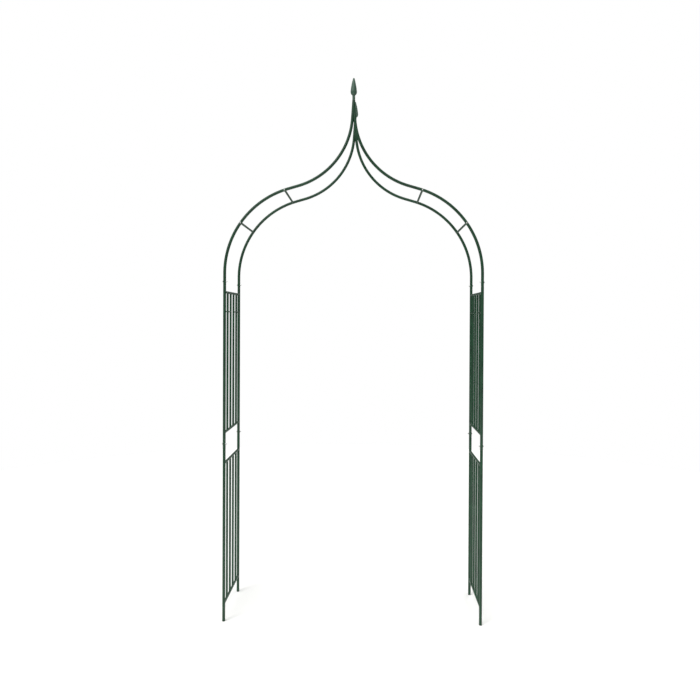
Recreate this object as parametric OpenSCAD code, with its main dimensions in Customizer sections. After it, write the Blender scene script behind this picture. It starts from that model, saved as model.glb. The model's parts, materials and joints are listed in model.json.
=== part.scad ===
// Ogee garden arch: two bent tube hoops on four legs, tied front to back,
// with barred ladder panels at both sides and a spear finial on each hoop.
//
// Millimetres, +Z up. The ground is z = 0 and the origin lies between the
// four feet. X runs across the walkway, Y from the front hoop to the rear one.
// Every tube is hollow. Panels and hoops plug together at necked tube ends.

/* [Footprint] */
// Leg centre to leg centre, across the walkway
leg_spacing_x = 1220; // [900:10:1500]
// Leg centre to leg centre, front hoop to rear hoop
leg_spacing_y = 367; // [280:1:560]

/* [Tubes and rods] */
// Outer diameter of the legs and hoops
leg_d = 14; // [12:0.5:18]
// Wall of the legs and hoops
leg_wall = 1; // [0.7:0.1:1.4]
// Outer diameter of the panel rails
rail_d = 11.5; // [10.5:0.5:12.5]
// Outer diameter of the upright bars
bar_d = 10.5; // [8:0.5:10.5]
// Wall of the rails and bars
bar_wall = 0.8; // [0.6:0.1:1.4]
// Diameter of the short stays in the upper panels
stay_d = 6; // [4:0.5:9]
// Diameter of the tie rods between the hoops
tie_d = 10; // [7:0.5:12]

/* [Side panels] */
// Ground to the centre of the lowest rail
foot_height = 84; // [60:1:160]
// Rail centre to rail centre in each panel
panel_height = 670; // [400:5:800]
// Gap between the two panels, rail centre to rail centre
panel_gap = 146; // [110:1:260]
// Upright bars in each panel
bar_count = 4; // [3:1:6]
// Top rail down to the row of short stays
stay_drop = 93; // [40:1:200]

/* [Plug joints] */
// Length of the cone between a tube and its neck
cone_length = 2; // [1:0.5:4]
// Length of the straight neck that plugs into the next tube
neck_length = 36; // [24:1:50]
// Clearance on the diameter of everything that plugs into a tube
plug_clearance = 0.2; // [0.1:0.05:0.4]
// Top rail up to the joint between leg and hoop
hoop_joint_rise = 30; // [20:1:60]

/* [Hoops] */
// Top rail up to where the shoulder bend starts
spring_rise = 90; // [80:1:160]
// Centreline radius of the shoulder bend
shoulder_radius = 416; // [300:1:440]
// Angle that the shoulder bend turns through
shoulder_angle = 73.8; // [73:0.1:80]
// Straight stretch between the two bends
ogee_straight = 52; // [20:1:90]
// Straight stretch under the apex
apex_straight = 87; // [60:1:120]
// Lean of that stretch from upright
apex_lean = 4; // [2:0.5:6]
// Thickness that bending draws off each face of the tube's wall
bend_draw = 0.05; // [0.04:0.01:0.1]
// Place of the shoulder tie, as an angle round the shoulder bend
shoulder_tie_angle = 35; // [20:1:45]
// Place of the crown tie, as an angle round the shoulder bend
crown_tie_angle = 71.5; // [55:0.5:72]

/* [Finials] */
// Height of the spear head
spear_height = 81; // [60:1:120]
// Greatest diameter of the spear head
spear_d = 30; // [20:1:40]
// Height of the rounded base of the spear head
spear_base_height = 17; // [12:1:25]
// Bulge of the head's side beyond a straight taper
spear_bulge = 1.4; // [0:0.1:2.5]
// Radius of the blunt tip
spear_tip_radius = 3.6; // [1.5:0.1:5]
// Diameter of the neck under the spear head
finial_neck_d = 13; // [11.6:0.1:13]
// Length of that neck
finial_neck_length = 25; // [15:1:40]
// Length of the spigot inside the hoop
finial_spigot_length = 14; // [8:1:18]

/* [Screws] */
// Thread diameter of every screw
screw_d = 4; // [3:0.5:4]
// Length of every screw under its head
screw_length = 20; // [20:1:25]
// Clearance hole through the tubes, more than the thread
screw_hole_clearance = 0.4; // [0.2:0.1:0.8]
// Diameter of the pan head
screw_head_d = 8; // [7:0.5:9]
// Height of the pan head
screw_head_height = 3; // [2:0.5:4]
// Nut size across its flats
nut_across_flats = 7; // [6.5:0.5:8]
// Height of the nut
nut_height = 3.2; // [2.5:0.1:4]
// Gap between a thread and the nut or rod round it
thread_clearance = 0.1; // [0.05:0.05:0.2]
// Depth of the tapped hole past the end of its screw
tapped_spare = 3; // [1:0.5:6]

/* [Foot plugs] */
// Thickness of the plug's flange under the tube
plug_flange = 2; // [1:0.5:4]
// Length of the plug's shank in the tube
plug_length = 14; // [8:1:25]

/* [Hidden] */
$fn = 48;
bend_fn = 240;

// Powder coat, screws and plugs
green_paint = "#2f4638";
zinc = "#b9bcc0";
black_plastic = "#202322";

// Sides of the arch, as signs of X and Y
left = -1;
right = 1;
front = -1;
rear = 1;

// Leg centres
leg_x = leg_spacing_x / 2;
leg_y = leg_spacing_y / 2;

// Radii of the leg tube, its bore and its neck
leg_r = leg_d / 2;
leg_bore_r = leg_r - leg_wall;
neck_r = leg_bore_r - plug_clearance / 2;
neck_bore_r = neck_r - leg_wall;

// Rail heights, bottom to top
lower_bottom_z = foot_height;
lower_top_z = lower_bottom_z + panel_height;
upper_bottom_z = lower_top_z + panel_gap;
upper_top_z = upper_bottom_z + panel_height;
stay_z = upper_top_z - stay_drop;

// A tube that is pushed over a neck stops where the cone fills its bore
seat_rise = cone_length * leg_wall / (leg_r - neck_r);
leg_joint_z = lower_top_z + panel_gap / 2;
hoop_joint_z = upper_top_z + hoop_joint_rise;
joint_screw_rise = cone_length + neck_length / 2;

// Centreline of a half hoop, in X and Z with Z counted from the spring line:
// an upright end, the shoulder bend, a straight, the reverse bend and a leaning
// straight that ends on the plane x = 0. The reverse bend's radius closes the
// width that the rest leaves.
spring_z = upper_top_z + spring_rise;
shoulder_dir = [cos(shoulder_angle), sin(shoulder_angle)];
apex_dir = [cos(apex_lean), sin(apex_lean)];
reverse_radius = (leg_x - shoulder_radius * (1 - shoulder_dir[0])
    - ogee_straight * shoulder_dir[1] - apex_straight * apex_dir[1])
    / (apex_dir[0] - shoulder_dir[0]);
shoulder_centre = [leg_x - shoulder_radius, 0];
shoulder_end = shoulder_centre + shoulder_radius * shoulder_dir;
ogee_end = shoulder_end + ogee_straight * [-shoulder_dir[1], shoulder_dir[0]];
reverse_centre = ogee_end + reverse_radius * shoulder_dir;
reverse_end = reverse_centre - reverse_radius * apex_dir;
apex_rise = reverse_end[1] + apex_straight * apex_dir[0];
apex_z = spring_z + apex_rise;

// Bars stand at equal spaces between the legs
bar_pitch = leg_spacing_y / (bar_count + 1);
function bar_y(i) = -leg_y + i * bar_pitch;

// Point of the shoulder bend's centreline, in X and Z counted as above
function shoulder_point(angle) =
    shoulder_centre + shoulder_radius * [cos(angle), sin(angle)];

// Outer face of a bend, where the heads of the tie screws seat
tie_seat_y = leg_y + leg_r - bend_draw;

// Reach of a cutting solid past what it cuts
over = 2 * leg_d;

// Length that a bend laps into the wall of a straight
bend_lap = 1;

// ---------- shapes ----------

// Cylinder along Y, from y1 to y2, at a place in X and Z
module rod_y(x, z, y1, y2, d) {
    translate([x, y1, z]) rotate([-90, 0, 0]) cylinder(d = d, h = y2 - y1);
}

// Upright cylinder from z1 to z2
module rod_z(x, y, z1, z2, d) {
    translate([x, y, z1]) cylinder(d = d, h = z2 - z1);
}

// Clearance hole for a joint screw, along X through a leg
module joint_hole(x, y, z) {
    translate([x - leg_d, y, z]) rotate([0, 90, 0])
        cylinder(d = screw_d + screw_hole_clearance, h = 2 * leg_d);
}

// Straight tube from z1 up to a joint, where it narrows to a neck
module necked_tube(z1, joint_z) {
    neck_z = joint_z + cone_length;
    top_z = neck_z + neck_length;
    rotate_extrude() polygon([
        [leg_bore_r, z1], [leg_r, z1], [leg_r, joint_z],
        [neck_r, neck_z], [neck_r, top_z], [neck_bore_r, top_z],
        [neck_bore_r, neck_z], [leg_bore_r, joint_z],
    ]);
}

// Section of a tube, less what bending draws off each face of its wall
module tube_section(draw = 0) {
    difference() {
        circle(r = leg_r - draw, $fn = 48);
        circle(r = leg_bore_r + draw, $fn = 48);
    }
}

// Sweep of the child section about a centre in X and Z, from angle a1 to a2
module sweep(centre, radius, a1, a2) {
    translate([centre[0], 0, centre[1]]) rotate([90, 0, 0]) rotate([0, 0, a1])
        rotate_extrude(angle = a2 - a1, $fn = bend_fn) translate([radius, 0])
            children();
}

// Bent stretch of a hoop, with its ends lapped into the walls of its neighbours
module bend(centre, radius, a1, a2) {
    lap = asin(bend_lap / radius);
    sweep(centre, radius, a1 - lap, a2 + lap) tube_section(bend_draw);
}

// Straight stretch of a hoop from a point in X and Z, leaning inwards
module straight(point, lean, length) {
    translate([point[0], 0, point[1]]) rotate([0, -lean, 0])
        linear_extrude(length) tube_section();
}

// Outside of the shoulder bend round a tie, to shape the tie's ends
module hoop_near(angle) {
    span = asin(2 * tie_d / shoulder_radius);
    sweep(shoulder_centre, shoulder_radius, angle - span, angle + span)
        circle(r = leg_r - bend_draw, $fn = 48);
}

// ---------- pieces ----------

module lower_leg(side_x, side_y) {
    color(green_paint) difference() {
        translate([side_x * leg_x, side_y * leg_y, 0])
            necked_tube(plug_flange, leg_joint_z);
        joint_hole(side_x * leg_x, side_y * leg_y, leg_joint_z + joint_screw_rise);
    }
}

module upper_leg(side_x, side_y) {
    x = side_x * leg_x;
    y = side_y * leg_y;
    color(green_paint) difference() {
        translate([x, y, 0]) necked_tube(leg_joint_z + seat_rise, hoop_joint_z);
        joint_hole(x, y, leg_joint_z + joint_screw_rise);
        joint_hole(x, y, hoop_joint_z + joint_screw_rise);
    }
}

// Rail between a front and a rear leg, its ends shaped round them
module rail(side_x, z) {
    x = side_x * leg_x;
    color(green_paint) difference() {
        rod_y(x, z, -leg_y, leg_y, rail_d);
        rod_y(x, z, -leg_y - over, leg_y + over, rail_d - 2 * bar_wall);
        for (y = [-leg_y, leg_y]) rod_z(x, y, z - over, z + over, leg_d);
    }
}

// Row of upright bars between two rails, their ends shaped round them
module bars(side_x, bottom_z, top_z) {
    x = side_x * leg_x;
    color(green_paint) for (i = [1:bar_count]) difference() {
        rod_z(x, bar_y(i), bottom_z, top_z, bar_d);
        rod_z(x, bar_y(i), bottom_z - over, top_z + over, bar_d - 2 * bar_wall);
        for (z = [bottom_z, top_z])
            rod_y(x, z, bar_y(i) - over, bar_y(i) + over, rail_d);
    }
}

// Short stays that bridge every space but the one or two in the middle
module stays(side_x) {
    x = side_x * leg_x;
    middle = bar_count / 2;
    color(green_paint) for (i = [0:bar_count]) if (i < floor(middle) || i > ceil(middle)) {
        difference() {
            rod_y(x, stay_z, bar_y(i), bar_y(i + 1), stay_d);
            for (k = [i, i + 1]) rod_z(x, bar_y(k), stay_z - over, stay_z + over,
                (k == 0 || k == bar_count + 1) ? leg_d : bar_d);
        }
    }
}

// Bent tube of a half hoop, mitred on the plane x = 0 and cut flat on top
module hoop_tube(side_x, side_y) {
    start_z = hoop_joint_z + seat_rise - spring_z;
    cut = 2 * over;
    translate([0, side_y * leg_y, spring_z]) mirror([side_x == left ? 1 : 0, 0, 0])
        color(green_paint) difference() {
            union() {
                straight([leg_x, start_z], 0, -start_z);
                bend(shoulder_centre, shoulder_radius, 0, shoulder_angle);
                straight(shoulder_end, shoulder_angle, ogee_straight);
                bend(reverse_centre, reverse_radius,
                    180 + apex_lean, 180 + shoulder_angle);
                straight(reverse_end, apex_lean, apex_straight + leg_d);
            }
            translate([-cut, -cut / 2, apex_rise - 3 * cut]) cube([cut, cut, 4 * cut]);
            translate([-cut / 2, -cut / 2, apex_rise]) cube(cut);
            joint_hole(leg_x, 0, hoop_joint_z + joint_screw_rise - spring_z);
            for (angle = [shoulder_tie_angle, crown_tie_angle])
                rod_y(shoulder_point(angle)[0], shoulder_point(angle)[1],
                    -leg_d, leg_d, screw_d + screw_hole_clearance);
        }
}

// Tie rod with a saddle and a tapped hole at each end
module tie(side_x, angle) {
    point = shoulder_point(angle);
    depth = screw_length - leg_d + tapped_spare;
    end_y = leg_y - leg_r + bend_draw;
    thread_d = screw_d + thread_clearance;
    translate([0, 0, spring_z]) mirror([side_x == left ? 1 : 0, 0, 0])
        color(green_paint) difference() {
            rod_y(point[0], point[1], -leg_y, leg_y, tie_d);
            for (y = [-leg_y, leg_y]) translate([0, y, 0]) hoop_near(angle);
            rod_y(point[0], point[1], -leg_y, depth - end_y, thread_d);
            rod_y(point[0], point[1], end_y - depth, leg_y, thread_d);
        }
}

// Spear finial with its neck and the spigot that plugs into the hoop
module finial(side_y) {
    base_steps = 8;
    side_steps = 8;
    tip_steps = 6;
    neck_top = finial_neck_length;
    widest_z = neck_top + spear_base_height;
    tip_z = neck_top + spear_height;
    taper = atan((spear_d / 2 - spear_tip_radius + 4 * spear_bulge)
        / (spear_height - spear_base_height));
    base = [for (i = [1:base_steps]) let (a = 90 * i / base_steps) [
        finial_neck_d / 2 + (spear_d - finial_neck_d) / 2 * sin(a),
        widest_z - spear_base_height * cos(a),
    ]];
    tip = [for (i = [0:tip_steps]) let (a = taper + (90 - taper) * i / tip_steps) [
        spear_tip_radius * cos(a),
        tip_z - spear_tip_radius * (1 - sin(a)),
    ]];
    side = [for (i = [1:side_steps - 1]) let (t = i / side_steps) [
        (1 - t) * spear_d / 2 + t * tip[0][0] + 4 * spear_bulge * t * (1 - t),
        (1 - t) * widest_z + t * tip[0][1],
    ]];
    color(green_paint) translate([0, side_y * leg_y, apex_z])
        rotate_extrude() polygon(concat(
            [[0, -finial_spigot_length], [neck_r, -finial_spigot_length],
             [neck_r, 0], [finial_neck_d / 2, 0], [finial_neck_d / 2, neck_top]],
            base, side, tip));
}

// Pan-head screw along +X, the underside of its head at the origin
module screw() {
    head_steps = 6;
    flat_r = 0.55 * screw_head_d / 2;
    rim_height = 0.4 * screw_head_height;
    dome = [for (i = [0:head_steps]) let (a = 90 * i / head_steps) [
        flat_r + (screw_head_d / 2 - flat_r) * cos(a),
        -rim_height - (screw_head_height - rim_height) * sin(a),
    ]];
    color(zinc) rotate([0, 90, 0]) rotate_extrude() polygon(concat(
        [[0, screw_length], [screw_d / 2, screw_length], [screw_d / 2, 0],
         [screw_head_d / 2, 0]],
        dome, [[0, -screw_head_height]]));
}

// Hexagon nut along X, its outer face at the origin
module nut() {
    color(zinc) rotate([0, 90, 0]) difference() {
        cylinder(d = nut_across_flats / cos(30), h = nut_height, $fn = 6);
        translate([0, 0, -nut_height])
            cylinder(d = screw_d + thread_clearance, h = 3 * nut_height);
    }
}

// Screws from the outer side of all four legs, at one joint height
module joint_screws(joint_z) {
    for (side_x = [left, right], y = [-leg_y, leg_y])
        mirror([side_x == right ? 1 : 0, 0, 0])
            translate([-leg_x - leg_r, y, joint_z + joint_screw_rise]) screw();
}

// Nuts on the walkway side of all four legs, at one joint height
module joint_nuts(joint_z) {
    for (side_x = [left, right], y = [-leg_y, leg_y])
        mirror([side_x == right ? 1 : 0, 0, 0])
            translate([leg_r - leg_x, y, joint_z + joint_screw_rise]) nut();
}

// Screws through the hoops into both ends of every tie
module tie_screws() {
    for (side_x = [left, right], side_y = [front, rear],
         angle = [shoulder_tie_angle, crown_tie_angle]) {
        point = shoulder_point(angle);
        translate([side_x * point[0], side_y * tie_seat_y, spring_z + point[1]])
            rotate([0, 0, -side_y * 90]) screw();
    }
}

// Plastic plugs that close the tubes at the ground
module foot_plugs() {
    color(black_plastic) for (x = [-leg_x, leg_x], y = [-leg_y, leg_y]) {
        translate([x, y, 0]) rotate_extrude() polygon([
            [0, 0], [leg_r, 0], [leg_r, plug_flange], [neck_r, plug_flange],
            [neck_r, plug_flange + plug_length], [0, plug_flange + plug_length],
        ]);
    }
}

// ---------- assembly ----------

for (side_x = [left, right]) {
    hand = side_x == left ? "left" : "right";
    for (side_y = [front, rear]) {
        place = str(hand, side_y == front ? "_front" : "_rear");
        lower_leg(side_x, side_y);
        upper_leg(side_x, side_y);
        hoop_tube(side_x, side_y);
    }
    rail(side_x, lower_bottom_z);
    rail(side_x, lower_top_z);
    rail(side_x, upper_bottom_z);
    rail(side_x, upper_top_z);
    bars(side_x, lower_bottom_z, lower_top_z);
    bars(side_x, upper_bottom_z, upper_top_z);
    stays(side_x);
    tie(side_x, shoulder_tie_angle);
    tie(side_x, crown_tie_angle);
}
finial(front);  // front_finial
finial(rear);  // rear_finial
foot_plugs();
joint_screws(leg_joint_z);  // leg_joint_screws
joint_nuts(leg_joint_z);  // leg_joint_nuts
joint_screws(hoop_joint_z);  // hoop_joint_screws
joint_nuts(hoop_joint_z);  // hoop_joint_nuts
tie_screws();
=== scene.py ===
"""Ogee garden arch of green coated steel tube: two hoops, four ladder panels, ties and spears.

Metres, +Z up. X runs across the walkway, Y from the front hoop to the rear one, and the ground
is z = 0. Every tube is round, so a piece is a profile turned about an axis, a tube with its ends
cut to the surface of the tube that it meets, or a section carried along the bent hoop.
"""

import json

import bmesh
import bpy
import numpy as np
from mathutils import Matrix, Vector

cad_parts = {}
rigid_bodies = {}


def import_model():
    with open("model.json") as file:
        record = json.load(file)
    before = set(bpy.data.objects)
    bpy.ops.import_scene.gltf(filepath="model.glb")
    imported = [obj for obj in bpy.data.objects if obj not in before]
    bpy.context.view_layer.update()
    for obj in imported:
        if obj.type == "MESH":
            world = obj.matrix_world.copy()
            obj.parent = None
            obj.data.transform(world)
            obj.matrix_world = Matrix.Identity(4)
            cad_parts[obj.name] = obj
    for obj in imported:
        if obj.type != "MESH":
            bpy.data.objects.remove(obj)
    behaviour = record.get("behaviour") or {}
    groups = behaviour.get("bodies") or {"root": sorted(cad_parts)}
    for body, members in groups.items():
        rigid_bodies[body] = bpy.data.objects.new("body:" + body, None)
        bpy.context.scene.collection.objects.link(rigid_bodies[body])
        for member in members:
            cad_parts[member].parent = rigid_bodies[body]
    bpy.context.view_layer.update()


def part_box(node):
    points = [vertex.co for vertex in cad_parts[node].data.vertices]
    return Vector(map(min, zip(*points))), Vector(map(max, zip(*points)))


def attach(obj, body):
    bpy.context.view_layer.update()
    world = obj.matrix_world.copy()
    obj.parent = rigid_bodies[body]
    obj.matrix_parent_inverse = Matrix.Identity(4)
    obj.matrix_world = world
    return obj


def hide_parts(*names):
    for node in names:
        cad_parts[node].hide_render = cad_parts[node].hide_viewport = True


for thing in list(bpy.data.objects):
    bpy.data.objects.remove(thing)

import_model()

MM = 0.001
SIDES = {"left": -1, "right": 1}
ROWS = {"front": -1, "rear": 1}
X, Y, Z = np.eye(3)

# ---------- sizes ----------

# Tube walls, and the necked ends that plug into the next tube with a gap on the radius
LEG_WALL = 1.0 * MM
BAR_WALL = 0.8 * MM
NECK_GAP = 0.1 * MM
NECK_LENGTH = 36 * MM
CONE_LENGTH = 2 * MM

# Centreline of a half hoop, from the shoulder bend to the leaning straight under the apex
SPRING_RISE = 90 * MM
SHOULDER_RADIUS = 416 * MM
SHOULDER_TURN = np.radians(73.8)
OGEE_STRAIGHT = 52 * MM
APEX_STRAIGHT = 87 * MM
APEX_LEAN = np.radians(4)

# Spear finials
SPEAR_NECK_R = 6.5 * MM
SPEAR_NECK_LENGTH = 25 * MM
SPEAR_BASE_HEIGHT = 17 * MM
SPEAR_BULGE = 1.4 * MM
SPEAR_TIP_R = 3.6 * MM
SPIGOT_LENGTH = 14 * MM
PARTING_LINE = 0.22 * MM

# M4 pan-head screws and their nuts
SCREW_R = 2.0 * MM
SCREW_PITCH = 0.7 * MM
THREAD_DEPTH = 0.42 * MM
SCREW_LENGTH = 20 * MM
HEAD_R = 4.0 * MM
HEAD_HEIGHT = 3.0 * MM
NUT_FLATS = 7 * MM
NUT_HEIGHT = 3.2 * MM

# Legs of the fillet welds and the pitch of their ripples
RAIL_WELD = 2.2 * MM
BAR_WELD = 0.8 * RAIL_WELD
STAY_WELD = 1.6 * MM
FILLET_RIPPLE = 2.1 * MM

# Welds of a peak: half width, height and ripples of the seam, and height of the ring
SEAM_HALF_WIDTH = 2.1 * MM
SEAM_HEIGHT = 1.0 * MM
SEAM_RIPPLE = 2.2 * MM
SEAM_WANDER = 13 * MM
SEAM_FADE = 2 * MM
RING_HEIGHT = 1.2 * MM

# Foot plugs
PLUG_FLANGE = 2 * MM


def span(node):
    """Middle and half size of a node's box, each as an array."""
    low, high = (np.array(corner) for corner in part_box(node))
    return (low + high) / 2, (high - low) / 2


LEG_MIDDLE, LEG_HALF = span("right_rear_lower_leg")
LEG_X, LEG_Y = LEG_MIDDLE[:2]
LEG_R = LEG_HALF[0]
RAIL_R = span("left_lower_top_rail")[1][2]
BAR_R = span("left_lower_bars")[1][0]
BARS_Y = span("left_lower_bars")[1][1] - BAR_R
BAR_COUNT = round(2 * LEG_Y / (LEG_Y - BARS_Y)) - 1
BAR_PLACES = np.linspace(-BARS_Y, BARS_Y, BAR_COUNT)
SPRING_Z = span("left_upper_top_rail")[0][2] + SPRING_RISE
HOOP_FOOT_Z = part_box("left_front_hoop_tube")[0][2]
APEX_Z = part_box("left_front_hoop_tube")[1][2]

# ---------- materials ----------

# Sizes of the patterns in the coat
COAT_PATCH = 60 * MM
COAT_DUST = 14 * MM


def linear(hex_colour):
    """A hex colour in sRGB as linear RGBA."""
    rgb = np.array([int(hex_colour[i:i + 2], 16) for i in (1, 3, 5)]) / 255
    rgb = np.where(rgb <= 0.04045, rgb / 12.92, ((rgb + 0.055) / 1.055) ** 2.4)
    return (*rgb, 1.0)


def add(tree, kind, values=None, links=None, **settings):
    """Adds a node, sets its inputs from values and its settings, and links inputs to outputs."""
    made = tree.nodes.new("ShaderNode" + kind)
    for key, value in settings.items():
        setattr(made, key, value)
    for key, value in (values or {}).items():
        made.inputs[key].default_value = value
    for key, source in (links or {}).items():
        tree.links.new(source, made.inputs[key])
    return made


def new_material(name):
    """An empty material: its node tree, its output's Surface socket and Object coordinates."""
    made = bpy.data.materials.new(name)
    made.use_nodes = True
    tree = made.node_tree
    tree.nodes.clear()
    output = add(tree, "OutputMaterial")
    place = add(tree, "TexCoord").outputs["Object"]
    return made, tree, output.inputs["Surface"], place


def coated_metal(name, light, dark, peel_size, peel_height, roughness):
    """Polyester powder coat, sprayed dry and baked, on steel tube or on a casting.

    It flows out to a satin moss-green skin with the fine dimples of orange peel. It lies a little
    thicker and darker in patches a hand's width long, and fine dust dulls it unevenly.
    """
    made, tree, surface, place = new_material(name)
    patches = add(tree, "TexNoise", {"Scale": 1 / COAT_PATCH, "Detail": 5}, {"Vector": place})
    colour = add(tree, "ValToRGB", links={"Fac": patches.outputs["Fac"]})
    for stop, position, shade in zip(colour.color_ramp.elements, (0.3, 0.7), (dark, light)):
        stop.position, stop.color = position, linear(shade)
    dust = add(tree, "TexNoise", {"Scale": 1 / COAT_DUST, "Detail": 4}, {"Vector": place})
    sheen = add(tree, "MapRange", {"To Min": roughness - 0.05, "To Max": roughness + 0.07},
                {"Value": dust.outputs["Fac"]})
    peel = add(tree, "TexNoise", {"Scale": 1 / peel_size, "Detail": 2, "Roughness": 0.45},
               {"Vector": place})
    bump = add(tree, "Bump", {"Strength": 1, "Distance": peel_height},
               {"Height": peel.outputs["Fac"]})
    shader = add(tree, "BsdfPrincipled", {"IOR": 1.5, "Specular IOR Level": 0.36},
                 {"Base Color": colour.outputs["Color"], "Roughness": sheen.outputs["Result"],
                  "Normal": bump.outputs["Normal"]})
    tree.links.new(shader.outputs["BSDF"], surface)
    return made


def zinc_plate():
    """Bright zinc plate with a clear passivation, as on small screws.

    The steel is cold headed and barrel plated: a bluish silver with faint yellow patches and
    fine scuffs from the barrel.
    """
    made, tree, surface, place = new_material("bright_zinc_plate")
    tint = add(tree, "TexNoise", {"Scale": 1 / (3 * MM), "Detail": 2}, {"Vector": place})
    colour = add(tree, "ValToRGB", links={"Fac": tint.outputs["Fac"]})
    for stop, position, shade in zip(colour.color_ramp.elements, (0.35, 0.75),
                                     ("#b4bac0", "#c6c2b2")):
        stop.position, stop.color = position, linear(shade)
    scuffs = add(tree, "TexNoise", {"Scale": 1 / (0.5 * MM), "Detail": 3}, {"Vector": place})
    gloss = add(tree, "MapRange", {"To Min": 0.24, "To Max": 0.42},
                {"Value": scuffs.outputs["Fac"]})
    bump = add(tree, "Bump", {"Strength": 1, "Distance": 0.006 * MM},
               {"Height": scuffs.outputs["Fac"]})
    shader = add(tree, "BsdfPrincipled", {"Metallic": 1.0},
                 {"Base Color": colour.outputs["Color"], "Roughness": gloss.outputs["Result"],
                  "Normal": bump.outputs["Normal"]})
    tree.links.new(shader.outputs["BSDF"], surface)
    return made


def moulded_plastic():
    """Black low-density polyethylene, injection moulded: soft, waxy and slightly grained."""
    made, tree, surface, place = new_material("black_polyethylene")
    grain = add(tree, "TexNoise", {"Scale": 1 / (0.4 * MM), "Detail": 2}, {"Vector": place})
    gloss = add(tree, "MapRange", {"To Min": 0.42, "To Max": 0.58},
                {"Value": grain.outputs["Fac"]})
    bump = add(tree, "Bump", {"Strength": 1, "Distance": 0.01 * MM},
               {"Height": grain.outputs["Fac"]})
    shader = add(tree, "BsdfPrincipled", {"Base Color": linear("#1c1f1e"), "IOR": 1.51},
                 {"Roughness": gloss.outputs["Result"], "Normal": bump.outputs["Normal"]})
    tree.links.new(shader.outputs["BSDF"], surface)
    return made


tube_coat = coated_metal("powder_coat_on_tube", "#1b442c", "#133421", 2.4 * MM, 0.06 * MM, 0.37)
weld_coat = coated_metal("powder_coat_on_weld", "#19402a", "#12301f", 1.2 * MM, 0.07 * MM, 0.34)
cast_coat = coated_metal("powder_coat_on_casting", "#4b6857", "#3b5547", 1.6 * MM, 0.1 * MM, 0.4)
zinc = zinc_plate()
plastic = moulded_plastic()

# ---------- surfaces ----------


def skin(points, around=True, along=False):
    """Faces over a grid of points (rows, columns, 3), closed across the columns or the rows."""
    rows, columns = points.shape[:2]
    index = np.arange(rows * columns).reshape(rows, columns)
    if around:
        index = np.concatenate([index, index[:, :1]], axis=1)
    if along:
        index = np.concatenate([index, index[:1]], axis=0)
    faces = np.stack([index[:-1, :-1], index[:-1, 1:], index[1:, 1:], index[1:, :-1]], axis=-1)
    return points.reshape(-1, 3), faces.reshape(-1, 4)


def piece(name, skins, material, replaced=(), crease=40):
    """One object from several skins: doubles merged, faces outwards, sharp only past crease."""
    starts = np.cumsum([0] + [len(points) for points, _ in skins[:-1]])
    points = np.concatenate([points for points, _ in skins])
    faces = np.concatenate([faces + start for (_, faces), start in zip(skins, starts)])
    mesh = bpy.data.meshes.new(name)
    mesh.from_pydata(points, [], faces)
    joined = bmesh.new()
    joined.from_mesh(mesh)
    bmesh.ops.remove_doubles(joined, verts=joined.verts, dist=0.002 * MM)
    bmesh.ops.recalc_face_normals(joined, faces=joined.faces)
    joined.to_mesh(mesh)
    joined.free()
    mesh.shade_smooth()
    mesh.set_sharp_from_angle(angle=np.radians(crease))
    mesh.materials.append(material)
    made = bpy.data.objects.new(name, mesh)
    bpy.context.scene.collection.objects.link(made)
    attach(made, "root")
    if replaced:
        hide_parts(*replaced)
    return made


def directions(axis):
    """Two unit vectors across an axis, so that (first, second, axis) is right-handed."""
    first = np.cross(Y if abs(axis[1]) < 0.9 else X, axis)
    first = first / np.linalg.norm(first)
    return first, np.cross(axis, first)


def turned(profile, origin, axis=Z, turns=64, along=False, spread=None):
    """A profile of (radius, height) turned about an axis: origin + h axis + r (cos v, sin v).

    spread changes the radii, given as (rows, 1), by the angle v, given as (1, turns).
    """
    profile = np.asarray(profile)
    v = np.linspace(0, 2 * np.pi, turns, endpoint=False)[None, :]
    radius = profile[:, :1] + 0 * v
    if spread is not None:
        radius = spread(profile, v)
    first, second = directions(np.asarray(axis, float))
    points = (np.asarray(origin) + profile[:, 1][:, None, None] * axis
              + (radius * np.cos(v))[..., None] * first + (radius * np.sin(v))[..., None] * second)
    return skin(points, along=along)


def softened(corners, radius, closed=True, steps=4):
    """A profile with its corners rounded: each becomes p + radius ((1-t)^2 a + t^2 b), where a
    and b are the unit vectors to the corners before and after it."""
    corners = np.asarray(corners, float)
    before = np.roll(corners, 1, axis=0) - corners
    after = np.roll(corners, -1, axis=0) - corners
    before /= np.linalg.norm(before, axis=1, keepdims=True)
    after /= np.linalg.norm(after, axis=1, keepdims=True)
    t = np.linspace(0, 1, steps)[None, :, None]
    rounded = (corners[:, None] + radius * ((1 - t) ** 2 * before[:, None]
                                            + t ** 2 * after[:, None])).reshape(-1, 2)
    if closed:
        return rounded
    return np.concatenate([corners[:1], rounded[steps:-steps], corners[-1:]])


def coped(start, end, across, radius, bore, start_cut, end_cut, turns=48):
    """A tube or rod between two axes, its ends fitted to the round tubes that lie along them.

    With v round the tube and r its radius or bore, an end is cut back from the axis by
    sqrt(cut^2 - (r cos v)^2), where cos v points along across, the direction square to both.
    """
    start, end = np.asarray(start, float), np.asarray(end, float)
    length = np.linalg.norm(end - start)
    axis = (end - start) / length
    beside = np.cross(axis, across)
    v = np.linspace(0, 2 * np.pi, turns, endpoint=False)[None, :]
    if bore:
        radii = np.array([bore, radius, radius, bore])
        at_end = np.array([0, 0, 1, 1])
    else:
        radii = np.concatenate([np.linspace(0, radius, 5), np.linspace(radius, 0, 5)])
        at_end = np.repeat([0, 1], 5)
    radii, at_end = radii[:, None], at_end[:, None]
    cut = np.where(at_end == 0, start_cut, end_cut)
    back = np.sqrt(cut ** 2 - (radii * np.cos(v)) ** 2)
    height = np.where(at_end == 0, back, length - back)
    points = (start + height[..., None] * axis + (radii * np.cos(v))[..., None] * across
              + (radii * np.sin(v))[..., None] * beside)
    return skin(points, along=bool(bore))


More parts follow.
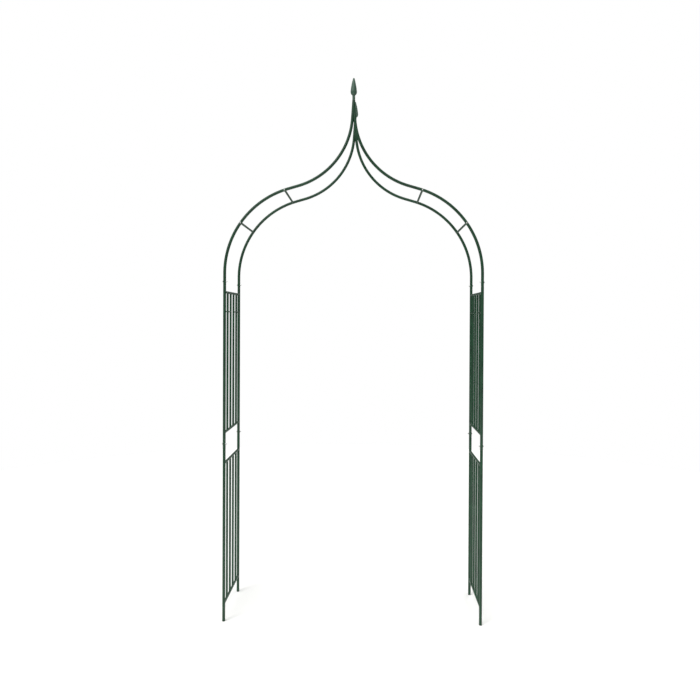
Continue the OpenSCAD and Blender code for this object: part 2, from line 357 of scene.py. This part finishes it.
def fillet_weld(centre, axis, across, radius, cut, leg, seed):
    """Fillet weld round a rod of that radius where it meets a crossing tube of radius cut.

    The corner runs along sqrt(cut^2 - (r cos v)^2). The bead spans from a point one leg up the rod
    to a point one leg round the tube, with a quadratic curve between them that bulges outwards
    in ripples, and its back lies inside the corner.
    """
    v = np.linspace(0, 2 * np.pi, 96, endpoint=False)
    beside = np.cross(axis, across)

    def place(x, y, height):
        return centre + x[:, None] * across + y[:, None] * beside + height[:, None] * axis

    x, y = radius * np.cos(v), radius * np.sin(v)
    corner = place(x, y, np.sqrt(cut ** 2 - x ** 2))
    on_rod = place(x, y, np.sqrt(cut ** 2 - x ** 2) + leg)
    turn = np.arcsin(x / cut) + leg * np.cos(v) / cut
    on_tube = place(cut * np.sin(turn), y + leg * np.sin(v), cut * np.cos(turn))
    middle = (on_rod + on_tube) / 2
    outward = middle - corner
    outward /= np.linalg.norm(outward, axis=1, keepdims=True)
    ripples = round(2 * np.pi * radius / FILLET_RIPPLE)
    bulge = leg * (0.42 + 0.1 * np.cos(ripples * v + seed) + 0.1 * np.sin(2 * v + 1.7 * seed)
                   + 0.07 * np.sin(3 * v + 2.9 * seed))
    control = middle + bulge[:, None] * outward
    t = np.linspace(0, 1, 7)[:, None, None]
    face = (1 - t) ** 2 * on_rod + 2 * t * (1 - t) * control + t ** 2 * on_tube
    back = corner - 0.3 * leg * outward
    return skin(np.concatenate([face, back[None]]), along=True)


# ---------- legs, rails, bars and stays ----------


def necked_leg(name, node, low_z):
    """A leg tube from low_z up to a cone and a neck, which plugs into the tube above it."""
    middle, half = span(node)
    neck_top = middle[2] + half[2]
    cone_top = neck_top - NECK_LENGTH
    joint = cone_top - CONE_LENGTH
    bore = LEG_R - LEG_WALL
    neck = bore - NECK_GAP
    profile = softened([
        (bore, low_z), (LEG_R, low_z), (LEG_R, joint), (neck, cone_top),
        (neck, neck_top), (neck - LEG_WALL, neck_top), (neck - LEG_WALL, cone_top), (bore, joint),
    ], 0.3 * MM)
    tube = turned(profile, (middle[0], middle[1], 0), along=True)
    return piece(name, [tube], tube_coat, [node])


def panel_rail(name, node):
    """A rail from the front leg to the rear leg, fitted to both."""
    middle, _ = span(node)
    ends = [(middle[0], y, middle[2]) for y in (-LEG_Y, LEG_Y)]
    tube = coped(*ends, X, RAIL_R, RAIL_R - BAR_WALL, LEG_R, LEG_R, 64)
    return piece(name, [tube], tube_coat, [node])


def panel_bars(name, node, bottom_z, top_z):
    """The upright bars of one panel, fitted to its bottom and top rails."""
    x = span(node)[0][0]
    tubes = [coped((x, y, bottom_z), (x, y, top_z), X, BAR_R, BAR_R - BAR_WALL, RAIL_R, RAIL_R, 64)
             for y in BAR_PLACES]
    return piece(name, tubes, tube_coat, [node])


def stay_spaces():
    """Ends and end radii of the spaces that the short stays bridge: all but the middle ones."""
    uprights = np.concatenate([[-LEG_Y], BAR_PLACES, [LEG_Y]])
    radii = [LEG_R] + [BAR_R] * BAR_COUNT + [LEG_R]
    middle = BAR_COUNT / 2
    return [(uprights[i], uprights[i + 1], radii[i], radii[i + 1]) for i in range(BAR_COUNT + 1)
            if i < np.floor(middle) or i > np.ceil(middle)]


def panel_stays(name, node):
    """The short stay rods under the top rail of an upper panel."""
    middle, half = span(node)
    rods = [coped((middle[0], y1, middle[2]), (middle[0], y2, middle[2]), X, half[2], 0, r1, r2)
            for y1, y2, r1, r2 in stay_spaces()]
    return piece(name, rods, tube_coat, [node])


def panel_welds(name, side, level, seed):
    """The welds of one ladder panel: its rails on the legs, and its bars and stays."""
    x = SIDES[side] * LEG_X
    beads = []
    rails = [span(f"{side}_{level}_{edge}_rail")[0][2] for edge in ("bottom", "top")]
    for z, up in zip(rails, (1, -1)):
        for y, inward in ((-LEG_Y, 1), (LEG_Y, -1)):
            seed += 1.3
            place = np.array([x, y, z])
            beads.append(fillet_weld(place, inward * Y, X, RAIL_R, LEG_R, RAIL_WELD, seed))
        for y in BAR_PLACES:
            seed += 1.3
            place = np.array([x, y, z])
            beads.append(fillet_weld(place, up * Z, X, BAR_R, RAIL_R, BAR_WELD, seed))
    if level == "upper":
        middle, half = span(f"{side}_upper_stays")
        for y1, y2, r1, r2 in stay_spaces():
            for y, inward, cut in ((y1, 1, r1), (y2, -1, r2)):
                seed += 1.3
                place = np.array([x, y, middle[2]])
                beads.append(fillet_weld(place, inward * Y, X, half[2], cut, STAY_WELD, seed))
    return piece(name, beads, weld_coat, crease=80)


# ---------- hoops ----------


def hoop_line():
    """Stations along a half hoop: centre (x, z), lean from upright, and how far the section
    has turned level (0 to 1).

    The radius of the reverse bend closes the width that the other stretches leave. Stations fall
    where the outside and the bore of the tube first reach the plane x = 0.
    """
    turn, lean, bore = SHOULDER_TURN, APEX_LEAN, LEG_R - LEG_WALL
    reverse_radius = (LEG_X - SHOULDER_RADIUS * (1 - np.cos(turn)) - OGEE_STRAIGHT * np.sin(turn)
                      - APEX_STRAIGHT * np.sin(lean)) / (np.cos(lean) - np.cos(turn))
    shoulder = np.array([LEG_X - SHOULDER_RADIUS, SPRING_Z])
    ogee = (shoulder + SHOULDER_RADIUS * np.array([np.cos(turn), np.sin(turn)])
            + OGEE_STRAIGHT * np.array([-np.sin(turn), np.cos(turn)]))
    reverse = ogee + reverse_radius * np.array([np.cos(turn), np.sin(turn)])
    outer_meets = np.arccos(reverse[0] / (reverse_radius + LEG_R))
    bore_meets = ((APEX_STRAIGHT * np.sin(lean) - bore * np.cos(lean))
                  / (np.sin(lean) * (1 + bore * np.tan(lean) / APEX_STRAIGHT)))
    first = np.linspace(0, turn, 97)
    second = np.sort(np.append(np.linspace(lean, turn, 81), outer_meets))[::-1]
    straight = np.sort(np.append(np.linspace(0, APEX_STRAIGHT, 23), bore_meets))[1:]
    foot = np.array([[LEG_X, HOOP_FOOT_Z]])
    bend = shoulder + SHOULDER_RADIUS * np.stack([np.cos(first), np.sin(first)], 1)
    back = reverse - reverse_radius * np.stack([np.cos(second), np.sin(second)], 1)
    top = back[-1] + straight[:, None] * np.array([-np.sin(lean), np.cos(lean)])
    centres = np.concatenate([foot, bend, back, top])
    leans = np.concatenate([[0], first, second, np.full(len(straight), lean)])
    level = np.concatenate([np.zeros(1 + len(first) + len(second)), straight / APEX_STRAIGHT])
    return centres, leans, level


def mitred_sections(radius, columns):
    """Points of a hoop's wall at one radius, as (stations, columns, 3), for the right-hand half.

    A section is c + r cos v m + r sin v y. Its direction m is square to the line, and along the
    last straight it turns level, so that the tube ends flat. The angle v spans only the arc that
    stays at x >= 0, up to where cos v = -c / (r m).
    """
    centres, leans, level = hoop_line()
    tilt = -np.tan(APEX_LEAN) * level
    m = np.stack([np.cos(leans) - np.sin(leans) * tilt, np.sin(leans) + np.cos(leans) * tilt], 1)
    reach = np.arccos(np.clip(-centres[:, 0] / (radius * m[:, 0]), -1, 1))[:, None]
    v = reach * np.linspace(-1, 1, columns)[None, :]
    xz = centres[:, None] + radius * np.cos(v)[..., None] * m[:, None]
    return np.stack([xz[..., 0], radius * np.sin(v), xz[..., 1]], -1), reach[:, 0]


def mitre_edge(radius):
    """Where the wall at one radius meets the plane x = 0, as (stations, 3) on the side of +Y."""
    points, reach = mitred_sections(radius, 3)
    return points[:, -1] * (0, 1, 1), reach


def hoop_bend(name, node, side, row):
    """One half hoop: outer wall, bore, the two ends and the mitre on the plane x = 0."""
    bore = LEG_R - LEG_WALL
    outer, reach = mitred_sections(LEG_R, 65)
    inner, _ = mitred_sections(bore, 65)
    met = np.flatnonzero(reach < np.pi - 1e-9)[0] - 1
    outer_edge, inner_edge = mitre_edge(LEG_R)[0][met:], mitre_edge(bore)[0][met:]
    mitre = np.stack([outer_edge, inner_edge], axis=1)
    skins = [outer, inner, np.stack([outer[0], inner[0]]), np.stack([outer[-1], inner[-1]]),
             mitre, mitre * (1, -1, 1)]
    place = np.array([0, ROWS[row] * LEG_Y, 0])
    skins = [skin(points * (SIDES[side], 1, 1) + place, around=False) for points in skins]
    return piece(name, skins, tube_coat, [node])


def rope(path, across, outward, half_width, half_height, closed):
    """A bead with an elliptical section, carried along a path: p + a cos v across + b sin v out."""
    v = np.linspace(0, 2 * np.pi, 14, endpoint=False)[None, :, None]
    points = (path[:, None] + half_width[:, None, None] * np.cos(v) * across[:, None]
              + half_height[:, None, None] * np.sin(v) * outward[:, None])
    if not closed:
        points = np.concatenate([path[:1, None] + 0 * points[:1], points,
                                 path[-1:, None] + 0 * points[-1:]])
    return skin(points, along=closed)


def peak_weld(name, row):
    """Weld of a hoop's two halves, down the front, round the crotch and up the rear, and the
    ring weld under the spear's neck."""
    edge, reach = mitre_edge(LEG_R)
    met = np.flatnonzero(reach < np.pi - 1e-9)[0]
    seam = edge[met:][::-1]
    path = np.concatenate([seam, seam[::-1][1:] * (1, -1, 1)])
    steps = np.linalg.norm(np.diff(path, axis=0), axis=1)
    length = np.concatenate([[0], np.cumsum(steps)])
    fine = np.linspace(0, length[-1], 260)
    path = np.stack([np.interp(fine, length, path[:, i]) for i in range(3)], 1)
    tangent = np.gradient(path, axis=0)
    tangent /= np.linalg.norm(tangent, axis=1, keepdims=True)
    across = np.tile(X, (len(path), 1))
    outward = np.cross(tangent, across)
    outward *= np.sign(outward[0, 1])
    ripple = (np.sin(2 * np.pi * fine / SEAM_RIPPLE)
              + 0.6 * np.sin(2 * np.pi * fine / SEAM_WANDER))
    fade = np.clip(np.minimum(fine, fine[-1] - fine) / SEAM_FADE, 0.2, 1)
    width = (SEAM_HALF_WIDTH + 0.12 * MM * ripple) * fade
    height = (SEAM_HEIGHT + 0.1 * MM * ripple) * fade
    place = np.array([0, ROWS[row] * LEG_Y, 0])
    seam_bead = rope(path + place, across, outward, width, height, False)
    v = np.linspace(0, 2 * np.pi, 96, endpoint=False)
    around = np.stack([np.cos(v), np.sin(v), 0 * v], 1)
    ring = place + SPEAR_NECK_R * around + APEX_Z * Z
    swell = RING_HEIGHT + 0.1 * MM * (np.cos(18 * v) + np.sin(3 * v))
    ring_bead = rope(ring, around, np.tile(Z, (len(v), 1)), 0.8 * swell, swell, True)
    return piece(name, [seam_bead, ring_bead], weld_coat, crease=80)


def tie_rod(name, node):
    """A tie between the hoops, its ends fitted to them."""
    middle, half = span(node)
    centre = np.array([np.sign(middle[0]) * (LEG_X - SHOULDER_RADIUS), 0, SPRING_Z])
    radial = (middle - centre) * (1, 0, 1)
    radial /= np.linalg.norm(radial)
    ends = [(middle[0], y, middle[2]) for y in (-LEG_Y, LEG_Y)]
    rod = coped(*ends, radial, half[2], 0, LEG_R, LEG_R, 64)
    return piece(name, [rod], tube_coat, [node])


def spear(name, node):
    """A cast spear: spigot, neck, quarter-ellipse base, bulging side and a blunt round tip.

    The side adds 4 bulge t (1 - t) to a straight taper. Two parting lines stand proud along it,
    each a narrow bell curve of the angle.
    """
    middle, half = span(node)
    tip_z = middle[2] + half[2]
    widest_z = APEX_Z + SPEAR_NECK_LENGTH + SPEAR_BASE_HEIGHT
    widest = half[0]
    taper = np.arctan((widest - SPEAR_TIP_R + 4 * SPEAR_BULGE) / (tip_z - widest_z))
    a = np.linspace(0, np.pi / 2, 25)
    base = np.stack([SPEAR_NECK_R + (widest - SPEAR_NECK_R) * np.sin(a),
                     widest_z - SPEAR_BASE_HEIGHT * np.cos(a)], 1)
    b = np.linspace(taper, np.pi / 2, 13)
    tip = np.stack([SPEAR_TIP_R * np.cos(b), tip_z - SPEAR_TIP_R * (1 - np.sin(b))], 1)
    t = np.linspace(0, 1, 26)[1:-1, None]
    side = (1 - t) * base[-1] + t * tip[0]
    side[:, :1] += 4 * SPEAR_BULGE * t * (1 - t)
    spigot_r = LEG_R - LEG_WALL - NECK_GAP
    spigot = [(0, APEX_Z - SPIGOT_LENGTH), (spigot_r, APEX_Z - SPIGOT_LENGTH), (spigot_r, APEX_Z),
              (SPEAR_NECK_R, APEX_Z)]
    profile = np.concatenate([spigot, base, side, tip])

    def parting(points, v):
        line = np.exp(-(np.sin(v) / 0.05) ** 2)
        head = np.clip((points[:, 1:] - APEX_Z) / SPEAR_NECK_LENGTH, 0, 1)
        blunt = np.clip(points[:, :1] / SPEAR_TIP_R, 0, 1)
        return points[:, :1] + PARTING_LINE * line * head * blunt

    cast = turned(profile, (middle[0], middle[1], 0), turns=120, spread=parting)
    return piece(name, [cast], cast_coat, [node])


# ---------- screws, nuts and plugs ----------


def cross_recess(radius, v):
    """Depth of a cross recess at polar coordinates: four wings round a cone in the middle."""
    fold = np.abs((v + np.pi / 4) % (np.pi / 2) - np.pi / 4)
    along, beside = radius * np.cos(fold), radius * np.sin(fold)
    wall = np.clip((0.55 * MM - beside) / (0.22 * MM), 0, 1)
    floor = np.clip(1.5 * MM - 0.45 * along, 0, None) * np.clip((2.1 * MM - along) / (0.3 * MM), 0, 1)
    cone = np.clip(1.9 * MM - 1.5 * radius, 0, None)
    return np.maximum(wall * floor, cone)


def pan_screw(seat, axis):
    """A pan-head screw: the head is a turned profile with its recess sunk in, and the thread is a
    triangle wave of the height less v / 2 pi of a pitch."""
    flat = 0.58 * HEAD_R
    rim = 0.38 * HEAD_HEIGHT
    crown = 0.12 * MM
    r = np.linspace(0, flat, 18)
    a = np.linspace(np.pi / 2, 0, 9)[1:]
    top = np.stack([r, -HEAD_HEIGHT + crown * (r / flat) ** 2], 1)
    dome = np.stack([flat + (HEAD_R - flat) * np.cos(a),
                     -rim - (HEAD_HEIGHT - crown - rim) * np.sin(a)], 1)
    under = [(HEAD_R, -0.2 * MM), (HEAD_R - 0.2 * MM, 0), (SCREW_R, 0), (0, 0)]
    profile = np.concatenate([top, dome, under])
    v = np.linspace(0, 2 * np.pi, 96, endpoint=False)[None, :]
    height = profile[:, 1:] + np.where(profile[:, :1] <= flat, 1, 0) * np.where(
        profile[:, 1:] < -rim, cross_recess(profile[:, :1] + 0 * v, v), 0)
    first, second = directions(axis)
    head = (seat + height[..., None] * axis + (profile[:, :1] * np.cos(v))[..., None] * first
            + (profile[:, :1] * np.sin(v))[..., None] * second)
    heights = np.arange(-0.3 * MM, SCREW_LENGTH, SCREW_PITCH / 6)
    rod = np.stack([np.full(len(heights), SCREW_R), heights], 1)
    rod = np.concatenate([[(0, heights[0])], rod, [(SCREW_R, SCREW_LENGTH), (0, SCREW_LENGTH)]])

    def thread(points, v):
        phase = (points[:, 1:] / SCREW_PITCH - v / (2 * np.pi)) % 1
        groove = 1 - np.abs(2 * phase - 1)
        started = np.clip((points[:, 1:] - 1 * MM) / (1 * MM), 0, 1)
        ended = np.clip((points[:, 1:] - SCREW_LENGTH + 0.6 * MM) / (0.6 * MM), 0, 1)
        cut = np.maximum(groove * started, ended) * THREAD_DEPTH
        return np.where(points[:, :1] > 0, points[:, :1] - cut, 0)

    return [skin(head), turned(rod, seat, axis, turns=24, spread=thread)]


def hexagon_nut(face, axis):
    """A hexagon nut: the outline flats / 2 / cos of the angle from a flat's middle, cut by a
    30 degree cone at both faces."""
    half = NUT_FLATS / 2
    cone = np.array([0, 0.15, 0.3, 0.5]) * MM
    rise = half * 0.97 + cone / np.tan(np.radians(30))
    bore = SCREW_R + 0.05 * MM
    low = np.stack([rise, cone], 1)
    high = np.stack([rise, NUT_HEIGHT - cone], 1)[::-1]
    ring = np.concatenate([[(bore, 0.3 * MM), (bore + 0.3 * MM, 0)], low, high,
                           [(bore + 0.3 * MM, NUT_HEIGHT), (bore, NUT_HEIGHT - 0.3 * MM)]])

    def hexagon(points, v):
        outline = half / np.cos((v + np.pi / 6) % (np.pi / 3) - np.pi / 6)
        return np.minimum(points[:, :1], outline)

    return turned(ring, face, axis, turns=96, along=True, spread=hexagon)


def screw_seats(node):
    """Seats and directions of the screws through the legs: heads on the outer side."""
    z = span(node)[0][2]
    return [(np.array([side * (LEG_X + LEG_R), row * LEG_Y, z]), -side * X)
            for side in SIDES.values() for row in ROWS.values()]


def joint_fasteners(level):
    """The four screws and the four nuts of one row of plug joints."""
    screws, nuts = f"{level}_joint_screws", f"{level}_joint_nuts"
    heads = [part for seat, axis in screw_seats(screws) for part in pan_screw(seat, axis)]
    piece(f"{level}_joint_pan_screws", heads, zinc, [screws], 30)
    rings = [hexagon_nut(seat + 2 * LEG_R * axis, axis) for seat, axis in screw_seats(nuts)]
    piece(f"{level}_joint_hexagon_nuts", rings, zinc, [nuts], 30)


def tie_fasteners():
    """The screws through the hoops into both ends of every tie."""
    middle, half = span("tie_screws")
    seat_y = half[1] - HEAD_HEIGHT
    parts = []
    for side in SIDES:
        for place in ("shoulder", "crown"):
            x, _, z = span(f"{side}_{place}_tie")[0]
            for row in ROWS.values():
                parts += pan_screw(np.array([x, row * seat_y, z]), -row * Y)
    piece("tie_pan_screws", parts, zinc, ["tie_screws"], 30)


def foot_plugs():
    """Tube plugs: a flange under each leg, and a ribbed shank inside it."""
    top_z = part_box("foot_plugs")[1][2]
    shank = LEG_R - LEG_WALL - NECK_GAP
    ribs = [(shank - (0.5 * MM if i % 2 else 0), PLUG_FLANGE + (1 + 1.5 * i) * MM)
            for i in range(8)]
    profile = softened([(0, 0.6 * MM), (3 * MM, 0.6 * MM), (3.4 * MM, 0), (LEG_R, 0),
                        (LEG_R, PLUG_FLANGE), (shank, PLUG_FLANGE), *ribs,
                        (shank - 0.6 * MM, top_z), (0, top_z)], 0.25 * MM, closed=False)
    plugs = [turned(profile, (side * LEG_X, row * LEG_Y, 0))
             for side in SIDES.values() for row in ROWS.values()]
    piece("foot_plug_mouldings", plugs, plastic, ["foot_plugs"])


# ---------- assembly ----------

foot_plugs()
for side in SIDES:
    for row in ROWS:
        place = f"{side}_{row}"
        necked_leg(f"{place}_lower_leg_tube", f"{place}_lower_leg", PLUG_FLANGE)
        upper = f"{place}_upper_leg"
        necked_leg(f"{upper}_tube", upper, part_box(upper)[0][2])
        hoop_bend(f"{place}_hoop_bend", f"{place}_hoop_tube", side, row)
    for level in ("lower", "upper"):
        panel = f"{side}_{level}"
        rail_z = [span(f"{panel}_{edge}_rail")[0][2] for edge in ("bottom", "top")]
        for edge in ("bottom", "top"):
            panel_rail(f"{panel}_{edge}_rail_tube", f"{panel}_{edge}_rail")
        panel_bars(f"{panel}_bar_tubes", f"{panel}_bars", *rail_z)
        panel_welds(f"{panel}_panel_welds", side, level, rail_z[0] + SIDES[side])
    panel_stays(f"{side}_stay_rods", f"{side}_upper_stays")
    for tie in ("shoulder", "crown"):
        tie_rod(f"{side}_{tie}_tie_rod", f"{side}_{tie}_tie")
for row in ROWS:
    spear(f"{row}_spear", f"{row}_finial")
    peak_weld(f"{row}_peak_weld", row)
for level in ("leg", "hoop"):
    joint_fasteners(level)
tie_fasteners()

# ---------- floor, light and camera ----------

FLOOR_R = 4.5
FILL = 0.27
# Each lamp's name, strength, width, turn about +Z, and tip from straight down, in degrees
LAMPS = (
    ("overhead_light", 2.4, 60, -21, 22),
    ("window_light", 1.1, 22, -38, 62),
    ("rear_window_light", 0.5, 30, 150, 58),
)


def studio_floor():
    """A plain pale floor."""
    made, tree, surface, _ = new_material("pale_floor")
    shader = add(tree, "BsdfPrincipled", {"Base Color": linear("#fafaf8"), "Roughness": 0.9,
                                          "Specular IOR Level": 0.1})
    tree.links.new(shader.outputs["BSDF"], surface)
    v = np.linspace(0, 2 * np.pi, 96, endpoint=False)
    rim = FLOOR_R * np.stack([np.cos(v), np.sin(v), 0 * v], 1)
    mesh = bpy.data.meshes.new("studio_floor")
    mesh.from_pydata(rim, [], [range(len(v))])
    mesh.materials.append(made)
    floor = bpy.data.objects.new("studio_floor", mesh)
    bpy.context.scene.collection.objects.link(floor)


def studio_light():
    """White surroundings that light the arch only weakly, a wide soft light high up in front, and
    two smaller ones, in front and behind, that draw the gloss along the tubes."""
    world = bpy.data.worlds.new("studio")
    world.use_nodes = True
    tree = world.node_tree
    tree.nodes.clear()
    rays = add(tree, "LightPath")
    seen = add(tree, "MapRange", {"To Min": FILL, "To Max": 1.0},
               {"Value": rays.outputs["Is Camera Ray"]})
    background = add(tree, "Background", {"Color": (1, 1, 1, 1)},
                     {"Strength": seen.outputs["Result"]})
    add(tree, "OutputWorld", links={"Surface": background.outputs["Background"]})
    bpy.context.scene.world = world
    for name, energy, width, turn, tip in LAMPS:
        lamp = bpy.data.lights.new(name, "SUN")
        lamp.energy = energy
        lamp.angle = np.radians(width)
        made = bpy.data.objects.new(name, lamp)
        made.matrix_world = (Matrix.Rotation(np.radians(turn), 4, "Z")
                             @ Matrix.Rotation(np.radians(tip), 4, "X"))
        bpy.context.scene.collection.objects.link(made)


def studio_camera():
    """Camera at a standing eye's height, a little right of the middle."""
    lens = bpy.data.cameras.new("studio_camera")
    lens.sensor_width = 36
    lens.lens = 36.23
    lens.shift_y = -0.0363
    lens.clip_end = 200
    made = bpy.data.objects.new("studio_camera", lens)
    yaw, pitch, roll = np.radians((1.546, -0.495, 0.255))
    made.matrix_world = (Matrix.Translation((0.077, -3.517, 1.4465)) @ Matrix.Rotation(yaw, 4, "Z")
                         @ Matrix.Rotation(np.pi / 2 + pitch, 4, "X")
                         @ Matrix.Rotation(roll, 4, "Z"))
    bpy.context.scene.collection.objects.link(made)
    bpy.context.scene.camera = made


studio_floor()
studio_light()
studio_camera()
bpy.context.scene.view_settings.view_transform = "Standard"
